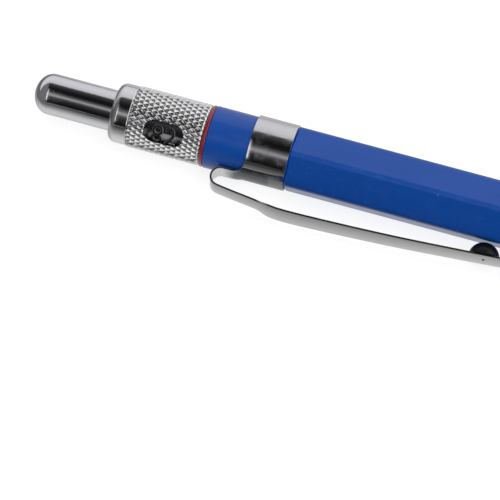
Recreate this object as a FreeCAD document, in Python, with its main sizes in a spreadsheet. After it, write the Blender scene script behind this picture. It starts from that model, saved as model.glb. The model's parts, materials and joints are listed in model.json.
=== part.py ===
"""A clutch-type holder for a 2 mm scribing point, drawn as a parametric FreeCAD document.

The holder lies along X with its point towards +X. The origin is on its axis, halfway along the
grip sleeve. One hex flat faces straight up and one straight down. Lengths are in millimetres.
"""
import FreeCAD, Part
import Sketcher
import math
import os
import re

DIMENSIONS = {
    # scribing point: a hard rod with a ground cone
    "point_radius": 1.0,
    "point_tip": 36.7,
    "point_length": 88.0,
    "point_taper": 3.9,
    "point_nose": 0.22,
    "point_break": 0.15,
    # grip sleeve
    "grip_length": 32.0,
    "grip_radius": 4.375,
    "grip_edge": 0.9,
    "grip_bore": 3.4,
    "grip_socket": 3.65,
    "socket_depth": 8.5,
    # nose cone and the rubber retainer in it
    "spigot_length": 6.0,
    "spigot_radius": 3.63,
    "nose_length": 15.2,
    "nose_base": 3.975,
    "nose_mouth": 1.55,
    "mouth_round": 0.15,
    "mouth_bore": 1.08,
    "chamber_radius": 3.1,
    "chamber_length": 7.0,
    "throat_radius": 2.55,
    "throat_length": 4.0,
    "retainer_pocket": 1.8,
    "retainer_length": 2.5,
    "pocket_length": 5.0,
    "slip_fit": 0.01,
    "press_fit": 0.02,
    # clutch: three jaws in a closing ring that rests on a seat
    "jaw_count": 3,
    "jaw_sweep": 112.0,
    "jaw_length": 7.4,
    "jaw_neck": 1.7,
    "jaw_neck_length": 3.4,
    "jaw_head": 2.2,
    "jaw_cone_length": 3.2,
    "hinge_gap": 0.1,
    "ring_length": 2.5,
    "ring_radius": 3.0,
    "ring_start": 13.0,
    "ring_small": 1.82,
    "ring_large": 2.21,
    "seat_gap": 0.05,
    "seat_bore": 2.15,
    "seat_flange": 3.62,
    # collet stem, feed tube and return spring
    "stem_end": 9.0,
    "stem_length": 8.0,
    "stem_bore": 1.06,
    "stem_shank": 1.35,
    "shank_length": 4.0,
    "tube_radius": 1.75,
    "tube_bore": 1.37,
    "tube_length": 105.0,
    "stop_position": 12.0,
    "stop_length": 1.5,
    "stop_radius": 2.8,
    "wire_radius": 0.2,
    "coil_radius": 2.45,
    "coil_turns": 10.0,
    "coil_clearance": 0.05,
    # hex barrel with a turned rear end
    "hex_length": 56.4,
    "hex_across": 8.85,
    "hex_fillet": 1.1,
    "rear_length": 12.16,
    "rear_radius": 4.53,
    "barrel_bore": 3.3,
    "insert_bore": 3.5,
    "insert_depth": 10.0,
    "insert_radius": 3.48,
    "insert_shank": 3.38,
    "insert_reach": 7.0,
    "insert_inner": 2.95,
    "bush_depth": 14.7,
    # index ring, drum and collar
    "red_width": 0.6,
    "red_radius": 4.52,
    "red_fillet": 0.28,
    "bush_stem": 3.45,
    "bush_stem_length": 12.34,
    "bush_bore": 3.05,
    "bush_guide": 1.85,
    "bush_bore_depth": 10.9,
    "drum_radius": 3.75,
    "drum_length": 10.5,
    "side_gap": 0.05,
    "collar_length": 13.69,
    "collar_radius": 4.47,
    "lip_radius": 4.33,
    "lip_length": 2.8,
    "lip_fillet": 1.15,
    "collar_bore": 3.81,
    "collar_floor": 1.7,
    "window_angle": 56.5,
    "window_length": 5.8,
    "window_width": 3.3,
    "window_corner": 1.4,
    "window_centre": 8.2,
    # snap ring that keeps the collar on the bush
    "snap_width": 0.5,
    "snap_inner": 3.28,
    "snap_outer": 3.91,
    "snap_sweep": 330.0,
    "groove_play": 0.05,
    "groove_edge": 0.35,
    "bush_groove": 3.25,
    "collar_groove": 3.95,
    # push button
    "button_length": 16.69,
    "button_radius": 2.98,
    "button_dome": 2.45,
    "button_bore": 2.05,
    "button_crown": 4.69,
    "button_reach": 11.79,
    "sleeve_radius": 2.03,
    "sleeve_reach": 1.0,
    "sleeve_length": 10.9,
    # pocket clip
    "clip_angle": 105.0,
    "clip_inset": 1.76,
    "sheet_thickness": 0.27,
    "band_start": 4.45,
    "band_length": 5.85,
    "band_bore": 4.55,
    "tongue_width": 2.9,
    "tongue_height": 4.72,
    "tongue_root": 6.65,
    "bend_height": 6.15,
    "bend_radius": 1.1,
    "bend_gap": 0.02,
    "arm_start_height": 7.3,
    "arm_width": 4.06,
    "arm_neck": 2.9,
    "arm_tip_width": 3.16,
    "crest_run": 11.2,
    "crest_height": 8.87,
    "crest_radius": 6.0,
    "flare_start": 7.5,
    "flare_length": 1.9,
    "shoulder_run": 30.4,
    "shoulder_height": 8.04,
    "arm_run": 44.3,
    "arm_end_height": 7.0,
    "arm_corner": 1.2,
    "ball_run": 40.5,
    "ball_radius": 2.25,
    "ball_foot": 4.89,
}

doc = FreeCAD.newDocument("ScribingPointHolder")
sheet = doc.addObject("Spreadsheet::Sheet", "Dimensions")
for row, (alias, size) in enumerate(DIMENSIONS.items(), start=1):
    sheet.set(f"A{row}", alias)
    sheet.set(f"B{row}", str(size))
    sheet.setAlias(f"B{row}", alias)
doc.recompute()

# Stations along the axis, as expressions of the driving dimensions.
GRIP_FRONT = "grip_length / 2"
GRIP_REAR = "-grip_length / 2"
SEAT_BACK = "(grip_length / 2 - socket_depth)"
BARREL_REAR = "(-grip_length / 2 - hex_length - rear_length)"
COLLAR_FRONT = f"({BARREL_REAR} - red_width)"
BUSH_REAR = f"({BARREL_REAR} - bush_stem_length)"
COLLAR_REAR = f"({COLLAR_FRONT} - side_gap - collar_length)"
BUTTON_REAR = f"({COLLAR_REAR} - button_reach)"


def of_sheet(expression):
    """The expression with each dimension's name pointing at its cell."""
    return re.sub(
        r"[a-z_]+",
        lambda word: "Dimensions." + word.group() if word.group() in DIMENSIONS else word.group(),
        expression,
    )


def bind(thing, **expressions):
    """Bind properties to sheet expressions; a double underscore stands for a dot."""
    for path, expression in expressions.items():
        thing.setExpression(path.replace("__", "."), of_sheet(expression))


def new_body(name, along="0", turn="0"):
    """A body at a station along the axis, turned about the axis by an angle in degrees."""
    body = doc.addObject("PartDesign::Body", name)
    body.Label = name
    body.Placement.Rotation = FreeCAD.Rotation(FreeCAD.Vector(1, 0, 0), 1.0)
    bind(body, Placement__Base__x=along, Placement__Rotation__Angle=turn)
    return body


def origin_plane(body, role):
    """One of the body's own origin planes or axes."""
    return next(item for item in body.Origin.OriginFeatures if item.Role == role)


def outline(body, name, corners, plane="XY_Plane"):
    """A closed sketch of straight sides whose corners are pairs of sheet expressions."""
    sketch = body.newObject("Sketcher::SketchObject", name)
    sketch.AttachmentSupport = [(origin_plane(body, plane), "")]
    sketch.MapMode = "FlatFace"
    count = len(corners)
    turns = [2 * math.pi * k / count for k in range(count)]
    guess = [FreeCAD.Vector(10 + 9 * math.cos(turn), 10 + 9 * math.sin(turn), 0) for turn in turns]
    for k in range(count):
        sketch.addGeometry(Part.LineSegment(guess[k], guess[(k + 1) % count]), False)
    for k in range(count):
        sketch.addConstraint(Sketcher.Constraint("Coincident", k, 2, (k + 1) % count, 1))
    for k, corner in enumerate(corners):
        for direction, axis, expression in zip(("DistanceX", "DistanceY"), (-2, -1), corner):
            if expression == "0":
                sketch.addConstraint(Sketcher.Constraint("PointOnObject", k, 1, axis))
                continue
            index = sketch.addConstraint(Sketcher.Constraint(direction, -1, 1, k, 1, 10.0))
            sketch.setExpression(f"Constraints[{index}]", of_sheet(expression))
    return sketch


def revolve(body, name, corners, kind="Revolution", sweep="360"):
    """Turn an outline of (along, radius) corners about the axis, as metal or as a groove."""
    sketch = outline(body, f"{name}_profile", corners)
    feature = body.newObject(f"PartDesign::{kind}", f"{name}_{kind.lower()}")
    feature.Profile = sketch
    feature.ReferenceAxis = (sketch, ["H_Axis"])
    bind(feature, Angle=sweep)
    body.Tip = feature
    return feature


def turned(name, along, corners):
    """A body turned about the holder's axis."""
    body = new_body(name, along)
    revolve(body, name, corners)
    return body


def sleeve(name, along, length, inner, outer):
    """A plain turned sleeve."""
    return turned(name, along, [("0", inner), ("0", outer), (length, outer), (length, inner)])


def pad_across(body, name, corners, width):
    """Pad a side outline of (along, height) corners equally to both sides of the middle plane."""
    sketch = outline(body, f"{name}_side", corners, "XZ_Plane")
    pad = body.newObject("PartDesign::Pad", f"{name}_pad")
    pad.Profile = sketch
    pad.SideType = "Symmetric"
    bind(pad, Length=width)
    body.Tip = pad
    return pad


def pocket_upward(body, name, corners, height):
    """Cut a plan outline of (along, across) corners from the axis plane upwards."""
    sketch = outline(body, f"{name}_plan", corners)
    pocket = body.newObject("PartDesign::Pocket", f"{name}_pocket")
    pocket.Profile = sketch
    pocket.Reversed = True
    bind(pocket, Length=height)
    body.Tip = pocket
    return pocket


def round_edges(body, name, radius, chosen):
    """Fillet those edges of the body's last feature for which chosen(edge) is true."""
    doc.recompute()
    base = body.Tip
    edges = [f"Edge{k}" for k, edge in enumerate(base.Shape.Edges, start=1) if chosen(edge)]
    fillet = body.newObject("PartDesign::Fillet", name)
    fillet.Base = (base, edges)
    bind(fillet, Radius=radius)
    body.Tip = fillet
    return fillet


def is_rim(edge, along, radius):
    """True for a full circle about the body's X axis at this station."""
    curve = edge.Curve
    if not isinstance(curve, Part.Circle) or abs(abs(curve.Axis.x) - 1) > 1e-6:
        return False
    return abs(curve.Center.x - along) < 1e-4 and abs(curve.Radius - radius) < 1e-4


def is_fold(edge, along, height):
    """True for a straight edge across the body, parallel to Y, at this station and height."""
    box = edge.BoundBox
    is_across = box.XLength < 1e-6 and box.ZLength < 1e-6
    return is_across and abs(box.XMin - along) < 1e-4 and abs(box.ZMin - height) < 1e-4


# --- Scribing point and the nose it comes out of -------------------------------------------

turned(
    "scribing_point",
    "point_tip - point_length",
    [
        ("0", "0"),
        ("0", "point_radius - point_break"),
        ("point_break", "point_radius"),
        ("point_length - point_taper", "point_radius"),
        ("point_length - point_nose", "point_nose"),
        ("point_length", "point_nose / 2"),
        ("point_length", "0"),
    ],
)

NOSE_FRONT = "spigot_length + nose_length"
THROAT_END = "chamber_length + throat_length"
turned(
    "nose_cone",
    f"{GRIP_FRONT} - spigot_length",
    [
        ("0", "chamber_radius"),
        ("0", "spigot_radius"),
        ("spigot_length", "spigot_radius"),
        ("spigot_length", "nose_base"),
        (f"{NOSE_FRONT} - mouth_round", "nose_mouth"),
        (NOSE_FRONT, "nose_mouth - mouth_round"),
        (NOSE_FRONT, "mouth_bore"),
        (f"{THROAT_END} + pocket_length", "mouth_bore"),
        (f"{THROAT_END} + pocket_length", "retainer_pocket"),
        (THROAT_END, "retainer_pocket"),
        (THROAT_END, "throat_radius"),
        ("chamber_length", "chamber_radius"),
    ],
)
sleeve(
    "point_retainer",
    f"{GRIP_FRONT} - spigot_length + {THROAT_END} + pocket_length - retainer_length",
    "retainer_length",
    "point_radius + slip_fit",
    "retainer_pocket - slip_fit",
)

# --- Clutch: jaws, closing ring and seat ---------------------------------------------------

CONE_END = "jaw_neck_length + jaw_cone_length"
for number in range(int(sheet.jaw_count)):
    name = "clutch_jaw_" + "abc"[number]
    jaw = new_body(name, "stem_end + hinge_gap", f"{number} * 360 / jaw_count - jaw_sweep / 2")
    revolve(
        jaw,
        name,
        [
            ("0", "point_radius + slip_fit"),
            ("0", "jaw_neck"),
            ("jaw_neck_length", "jaw_neck"),
            (CONE_END, "jaw_head"),
            ("jaw_length", "jaw_head"),
            ("jaw_length", "point_radius + slip_fit"),
        ],
        sweep="jaw_sweep",
    )

turned(
    "clutch_ring",
    "ring_start",
    [
        ("0", "ring_small"),
        ("0", "ring_radius"),
        ("ring_length", "ring_radius"),
        ("ring_length", "ring_large"),
    ],
)
turned(
    "clutch_seat",
    SEAT_BACK,
    [
        ("0", "seat_bore"),
        ("0", "seat_flange"),
        ("socket_depth - spigot_length", "seat_flange"),
        ("socket_depth - spigot_length", "ring_radius"),
        (f"ring_start - seat_gap - {SEAT_BACK}", "ring_radius"),
        (f"ring_start - seat_gap - {SEAT_BACK}", "seat_bore"),
    ],
)

# --- Pusher: collet stem, feed tube and the spring that returns them -----------------------

turned(
    "collet_stem",
    "stem_end - stem_length",
    [
        ("0", "stem_bore"),
        ("0", "stem_shank"),
        ("shank_length", "stem_shank"),
        ("shank_length", "tube_radius"),
        ("stem_length", "tube_radius"),
        ("stem_length", "stem_bore"),
    ],
)
sleeve(
    "feed_tube",
    "stem_end - stem_length + shank_length - tube_length",
    "tube_length",
    "tube_bore",
    "tube_radius",
)
sleeve(
    "spring_collar",
    "-stop_position - stop_length",
    "stop_length",
    "tube_radius + slip_fit",
    "stop_radius",
)

COIL_HEIGHT = f"({SEAT_BACK} + stop_position - 2 * (wire_radius + coil_clearance))"
coil = doc.addObject("Part::Helix", "spring_coil")
bind(coil, Radius="coil_radius", Height=COIL_HEIGHT, Pitch=f"{COIL_HEIGHT} / coil_turns")
wire = doc.addObject("Part::Circle", "spring_wire")
wire.Placement.Rotation = FreeCAD.Rotation(FreeCAD.Vector(1, 0, 0), 90)
bind(wire, Radius="wire_radius", Placement__Base__x="coil_radius")
return_spring = doc.addObject("Part::Sweep", "return_spring")
return_spring.Sections = [wire]
return_spring.Spine = (coil, [])
return_spring.Solid = True
return_spring.Frenet = True
return_spring.Placement.Rotation = FreeCAD.Rotation(FreeCAD.Vector(0, 1, 0), 90)
bind(return_spring, Placement__Base__x="-stop_position + wire_radius + coil_clearance")

# --- Grip sleeve, barrel and the bushes in its ends ----------------------------------------

turned(
    "grip_sleeve",
    GRIP_REAR,
    [
        ("0", "grip_bore"),
        ("0", "grip_radius"),
        ("grip_length - grip_edge", "grip_radius"),
        ("grip_length", "nose_base"),
        ("grip_length", "grip_socket"),
        ("grip_length - socket_depth", "grip_socket"),
        ("grip_length - socket_depth", "grip_bore"),
    ],
)

barrel = new_body("barrel", BARREL_REAR)
hexagon = barrel.newObject("PartDesign::AdditivePrism", "hexagon")
hexagon.Polygon = 6
hexagon.AttachmentSupport = [(origin_plane(barrel, "YZ_Plane"), "")]
hexagon.MapMode = "FlatFace"
bind(
    hexagon,
    Circumradius="hex_across / 2 / cos(30)",
    Height="hex_length",
    AttachmentOffset__Base__z="rear_length",
)
barrel.Tip = hexagon
round_edges(
    barrel, "hex_corners", "hex_fillet", lambda edge: edge.BoundBox.XLength > sheet.hex_length - 1
)
revolve(
    barrel,
    "rear_end",
    [("0", "0"), ("0", "rear_radius"), ("rear_length", "rear_radius"), ("rear_length", "0")],
)
BARREL_LENGTH = "(rear_length + hex_length)"
revolve(
    barrel,
    "barrel_bores",
    [
        ("0", "0"),
        ("0", "insert_bore"),
        ("bush_depth", "insert_bore"),
        ("bush_depth", "barrel_bore"),
        (f"{BARREL_LENGTH} - insert_depth", "barrel_bore"),
        (f"{BARREL_LENGTH} - insert_depth", "insert_bore"),
        (BARREL_LENGTH, "insert_bore"),
        (BARREL_LENGTH, "0"),
    ],
    kind="Groove",
)

turned(
    "front_insert",
    f"{GRIP_REAR} - insert_depth",
    [
        ("0", "insert_inner"),
        ("0", "insert_radius"),
        ("insert_depth", "insert_radius"),
        ("insert_depth", "insert_shank"),
        ("insert_depth + insert_reach", "insert_shank"),
        ("insert_depth + insert_reach", "insert_inner"),
    ],
)

GROOVE_FRONT = "(groove_edge + snap_width + 2 * groove_play)"
turned(
    "rear_bush",
    BUSH_REAR,
    [
        ("0", "bush_bore"),
        ("0", "bush_stem"),
        ("groove_edge", "bush_stem"),
        ("groove_edge", "bush_groove"),
        (GROOVE_FRONT, "bush_groove"),
        (GROOVE_FRONT, "bush_stem"),
        ("bush_stem_length", "bush_stem"),
        ("bush_stem_length", "insert_radius"),
        ("bush_stem_length + bush_depth", "insert_radius"),
        ("bush_stem_length + bush_depth", "bush_guide"),
        ("bush_bore_depth", "bush_guide"),
        ("bush_bore_depth", "bush_bore"),
    ],
)

# --- Red ring and the index: drum, turning collar and snap ring ----------------------------

red_ring = sleeve("red_ring", COLLAR_FRONT, "red_width", "bush_stem + press_fit", "red_radius")
round_edges(
    red_ring,
    "red_bulge",
    "red_fillet",
    lambda edge: any(is_rim(edge, along, sheet.red_radius) for along in (0, sheet.red_width)),
)

sleeve(
    "index_drum",
    f"{COLLAR_FRONT} - side_gap - drum_length",
    "drum_length",
    "bush_stem + press_fit",
    "drum_radius",
)

index_collar = new_body("index_collar", COLLAR_REAR, "window_angle")
GROOVE_START = f"({BUSH_REAR} + groove_edge - {COLLAR_REAR})"
GROOVE_END = f"({BUSH_REAR} + {GROOVE_FRONT} - {COLLAR_REAR})"
revolve(
    index_collar,
    "index_collar",
    [
        ("0", "bush_bore"),
        ("0", "lip_radius"),
        ("lip_length", "lip_radius"),
        ("lip_length", "collar_radius"),
        ("collar_length", "collar_radius"),
        ("collar_length", "collar_bore"),
        (GROOVE_END, "collar_bore"),
        (GROOVE_END, "collar_groove"),
        (GROOVE_START, "collar_groove"),
        (GROOVE_START, "collar_bore"),
        ("collar_floor", "collar_bore"),
        ("collar_floor", "bush_bore"),
    ],
)
round_edges(
    index_collar, "lip_rounding", "lip_fillet", lambda edge: is_rim(edge, 0, sheet.lip_radius)
)
pocket_upward(
    index_collar,
    "index_window",
    [
        ("window_centre - window_length / 2", "-window_width / 2"),
        ("window_centre + window_length / 2", "-window_width / 2"),
        ("window_centre + window_length / 2", "window_width / 2"),
        ("window_centre - window_length / 2", "window_width / 2"),
    ],
    "collar_radius + 1",
)


def is_window_corner(edge):
    """True for one of the four straight edges that run through the wall at the window."""
    box = edge.BoundBox
    is_radial = box.XLength < 1e-6 and box.YLength < 1e-6 and box.ZMin > 0
    return is_radial and abs(abs(box.YMin) - sheet.window_width / 2) < 1e-4


round_edges(index_collar, "window_corners", "window_corner", is_window_corner)

snap_ring = new_body("collar_snap_ring", f"{BUSH_REAR} + groove_edge + groove_play")
revolve(
    snap_ring,
    "collar_snap_ring",
    [
        ("0", "snap_inner"),
        ("0", "snap_outer"),
        ("snap_width", "snap_outer"),
        ("snap_width", "snap_inner"),
    ],
    sweep="snap_sweep",
)

# --- Push button and the sleeve it sits on -------------------------------------------------

button = new_body("push_button", BUTTON_REAR)
dome = button.newObject("PartDesign::AdditiveEllipsoid", "button_end")
dome.AttachmentSupport = [(origin_plane(button, "YZ_Plane"), "")]
dome.MapMode = "FlatFace"
bind(
    dome,
    Radius1="button_dome",
    Radius2="button_radius",
    Radius3="button_radius",
    AttachmentOffset__Base__z="button_dome",
)
button.Tip = dome
revolve(
    button,
    "button_skirt",
    [
        ("button_dome", "0"),
        ("button_dome", "button_radius"),
        ("button_length", "button_radius"),
        ("button_length", "0"),
    ],
)
revolve(
    button,
    "button_hollow",
    [
        ("button_crown", "0"),
        ("button_crown", "button_bore"),
        ("button_length", "button_bore"),
        ("button_length", "0"),
    ],
    kind="Groove",
)
sleeve(
    "button_sleeve",
    f"{BUTTON_REAR} + button_length + sleeve_reach - sleeve_length",
    "sleeve_length",
    "tube_radius + slip_fit",
    "sleeve_radius",
)

# --- Pocket clip: band with its tongue, sprung arm and ball --------------------------------
# The clip's bodies start at the outside of its bend, with the clip side upwards (+Z) before
# they are turned to their place round the barrel.

BEND_STATION = f"{BARREL_REAR} + clip_inset"
HALF_SHEET = "sheet_thickness / 2"

clip_band = new_body("clip_band", BEND_STATION, "clip_angle")
revolve(
    clip_band,
    "clip_wrap",
    [
        ("band_start", "band_bore"),
        ("band_start", "band_bore + sheet_thickness"),
        ("band_start + band_length", "band_bore + sheet_thickness"),
        ("band_start + band_length", "band_bore"),
    ],
)
pad_across(
    clip_band,
    "clip_tongue",
    [
        ("tongue_root", f"tongue_height - {HALF_SHEET}"),
        ("0", f"tongue_height - {HALF_SHEET}"),
        ("0", "bend_height - bend_gap"),
        ("sheet_thickness", "bend_height - bend_gap"),
        ("sheet_thickness", f"tongue_height + {HALF_SHEET}"),
        ("tongue_root", f"tongue_height + {HALF_SHEET}"),
    ],
    "tongue_width",
)
half_sheet = sheet.sheet_thickness / 2
round_edges(
    clip_band,
    "tongue_bend_outside",
    f"bend_radius + {HALF_SHEET}",
    lambda edge: is_fold(edge, 0, sheet.tongue_height - half_sheet),
)
round_edges(
    clip_band,
    "tongue_bend_inside",
    f"bend_radius - {HALF_SHEET}",
    lambda edge: is_fold(edge, sheet.sheet_thickness, sheet.tongue_height + half_sheet),
)

clip_arm = new_body("clip_arm", BEND_STATION, "clip_angle")
ARM_START = "arm_start_height + (crest_height - arm_start_height) * sheet_thickness / crest_run"
pad_across(
    clip_arm,
    "clip_arm",
    [
        ("0", "bend_height + bend_gap"),
        ("0", f"arm_start_height + {HALF_SHEET}"),
        ("crest_run", f"crest_height + {HALF_SHEET}"),
        ("shoulder_run", f"shoulder_height + {HALF_SHEET}"),
        ("arm_run", f"arm_end_height + {HALF_SHEET}"),
        ("arm_run", f"arm_end_height - {HALF_SHEET}"),
        ("shoulder_run", f"shoulder_height - {HALF_SHEET}"),
        ("crest_run", f"crest_height - {HALF_SHEET}"),
        ("sheet_thickness", f"{ARM_START} - {HALF_SHEET}"),
        ("sheet_thickness", "bend_height + bend_gap"),
    ],
    "arm_width",
)
waist = pocket_upward(
    clip_arm,
    "clip_waist",
    [
        ("0", "arm_neck / 2"),
        ("flare_start", "arm_neck / 2"),
        ("flare_start + flare_length", "arm_width / 2"),
        ("arm_run", "arm_tip_width / 2"),
        ("arm_run", "arm_width"),
        ("0", "arm_width"),
    ],
    "crest_height + 1",
)
other_waist = clip_arm.newObject("PartDesign::Mirrored", "clip_waist_mirrored")
other_waist.Originals = [waist]
other_waist.MirrorPlane = (origin_plane(clip_arm, "XZ_Plane"), [""])
clip_arm.Tip = other_waist
for name, radius, along, height in (
    ("arm_bend_outside", f"bend_radius + {HALF_SHEET}", 0, sheet.arm_start_height + half_sheet),
    ("arm_crest_top", "crest_radius", sheet.crest_run, sheet.crest_height + half_sheet),
    ("arm_crest_bottom", "crest_radius", sheet.crest_run, sheet.crest_height - half_sheet),
):
    round_edges(
        clip_arm, name, radius, lambda edge, along=along, height=height: is_fold(edge, along, height)
    )
round_edges(
    clip_arm,
    "arm_bend_inside",
    f"bend_radius - {HALF_SHEET}",
    lambda edge: edge.BoundBox.YLength > 1 and abs(edge.BoundBox.XMax - sheet.sheet_thickness) < 1e-4
    and edge.BoundBox.ZMin > sheet.bend_height + 0.1,
)
round_edges(
    clip_arm,
    "arm_corners",
    "arm_corner",
    lambda edge: edge.BoundBox.XMin > sheet.arm_run - 1e-4 and edge.BoundBox.YLength < 1e-6,
)

ARM_SLOPE = "(shoulder_height - arm_end_height) / (arm_run - shoulder_run)"
ARM_UNDERSIDE = f"(shoulder_height - (ball_run - shoulder_run) * {ARM_SLOPE} - {HALF_SHEET})"
BALL_CENTRE = "(ball_foot + ball_radius)"
clip_ball = new_body("clip_ball", BEND_STATION, "clip_angle")
ball = clip_ball.newObject("PartDesign::AdditiveSphere", "ball")
ball.AttachmentSupport = [(origin_plane(clip_ball, "XY_Plane"), "")]
ball.MapMode = "FlatFace"
ball.AttachmentOffset = FreeCAD.Placement(
    FreeCAD.Vector(), FreeCAD.Rotation(FreeCAD.Vector(0, 1, 0), 1.0)
)
bind(
    ball,
    Radius="ball_radius",
    Angle2=f"asin(({ARM_UNDERSIDE} - {BALL_CENTRE}) * cos(atan({ARM_SLOPE})) / ball_radius)",
    AttachmentOffset__Base__x="ball_run",
    AttachmentOffset__Base__z=BALL_CENTRE,
    AttachmentOffset__Rotation__Angle=f"atan({ARM_SLOPE})",
)
clip_ball.Tip = ball

# --- Check the document and write one file for each sub-part --------------------------------

doc.recompute()
failed = [item.Name for item in doc.Objects if {"Invalid", "Error"} & set(item.State)]
if failed:
    raise RuntimeError(f"these objects did not recompute: {failed}")
pieces = [item for item in doc.Objects if item.TypeId in ("PartDesign::Body", "Part::Sweep")]
for piece in pieces:
    if piece.Shape.isNull() or not piece.Shape.isValid() or len(piece.Shape.Solids) != 1:
        raise RuntimeError(f"{piece.Label} is not one valid solid")
for piece in (barrel, index_collar, button, clip_band, clip_arm):
    cuts = [item for item in piece.Group if item.TypeId in ("PartDesign::Groove", "PartDesign::Pocket")]
    for cut in cuts:
        if cut.Shape.Volume >= cut.BaseFeature.Shape.Volume - 1e-3:
            raise RuntimeError(f"{cut.Name} removes nothing from {piece.Label}")

os.makedirs("parts", exist_ok=True)
for piece in pieces:
    piece.Shape.exportStep(f"parts/{piece.Label}.step")
print(f"wrote {len(pieces)} parts")
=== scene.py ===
"""A clutch-type scriber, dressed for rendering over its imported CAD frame.

Lengths in this script are in millimetres until MM turns them into Blender's metres. The holder lies
along X with its point towards +X. Angles round it are measured from straight up towards the camera's
side (-Y), and each radial piece is built standing up (+Z) and then turned to its own angle.
"""
import json
import math

import bmesh
import bpy
from mathutils import Matrix, Vector


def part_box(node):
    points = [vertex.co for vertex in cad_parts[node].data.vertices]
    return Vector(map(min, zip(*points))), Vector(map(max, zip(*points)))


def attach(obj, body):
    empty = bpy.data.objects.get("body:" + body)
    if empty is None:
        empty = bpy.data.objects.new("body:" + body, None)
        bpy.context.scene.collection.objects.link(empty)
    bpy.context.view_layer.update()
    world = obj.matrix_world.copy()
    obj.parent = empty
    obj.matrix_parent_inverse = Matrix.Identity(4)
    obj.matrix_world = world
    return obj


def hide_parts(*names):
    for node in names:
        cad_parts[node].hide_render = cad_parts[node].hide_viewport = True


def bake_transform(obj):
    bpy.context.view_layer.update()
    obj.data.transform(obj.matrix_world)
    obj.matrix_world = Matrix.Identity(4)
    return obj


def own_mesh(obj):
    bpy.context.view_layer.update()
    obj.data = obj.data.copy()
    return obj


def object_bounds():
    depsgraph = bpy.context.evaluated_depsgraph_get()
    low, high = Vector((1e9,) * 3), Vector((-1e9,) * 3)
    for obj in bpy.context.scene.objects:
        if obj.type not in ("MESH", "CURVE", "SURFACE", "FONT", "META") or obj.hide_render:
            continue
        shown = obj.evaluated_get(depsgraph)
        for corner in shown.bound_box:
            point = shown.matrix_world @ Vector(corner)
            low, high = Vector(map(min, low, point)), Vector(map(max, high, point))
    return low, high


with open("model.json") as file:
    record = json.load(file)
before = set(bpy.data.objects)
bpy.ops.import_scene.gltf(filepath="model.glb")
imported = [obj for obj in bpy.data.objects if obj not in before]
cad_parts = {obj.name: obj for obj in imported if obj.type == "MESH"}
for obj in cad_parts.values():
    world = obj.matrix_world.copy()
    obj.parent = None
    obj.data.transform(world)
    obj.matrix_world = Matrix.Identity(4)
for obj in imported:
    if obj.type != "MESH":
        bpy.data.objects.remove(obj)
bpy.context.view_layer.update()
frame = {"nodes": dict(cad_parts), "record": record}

MM = 0.001
CLIP_ANGLE = 105.0
WINDOW_ANGLE = 56.5
WINDOW_FROM_REAR = 8.2  # from the collar's rear end to the window's middle


def ends(node):
    """Where a CAD node starts and ends along the axis, in millimetres."""
    low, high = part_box(node)
    return low[0] / MM, high[0] / MM


def onward(angle):
    """The direction in which the angle round the axis grows, at that angle."""
    return Vector((0.0, -math.cos(math.radians(angle)), -math.sin(math.radians(angle))))


def radius_of(node):
    """A turned CAD node's outer radius, in millimetres."""
    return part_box(node)[1][2] / MM


# --- Materials -------------------------------------------------------------------------------


def feed(tree, target, value):
    """Link a node's output to an input, or set a plain value on it."""
    if isinstance(value, bpy.types.NodeSocket):
        tree.links.new(value, target)
    else:
        target.default_value = value


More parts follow.
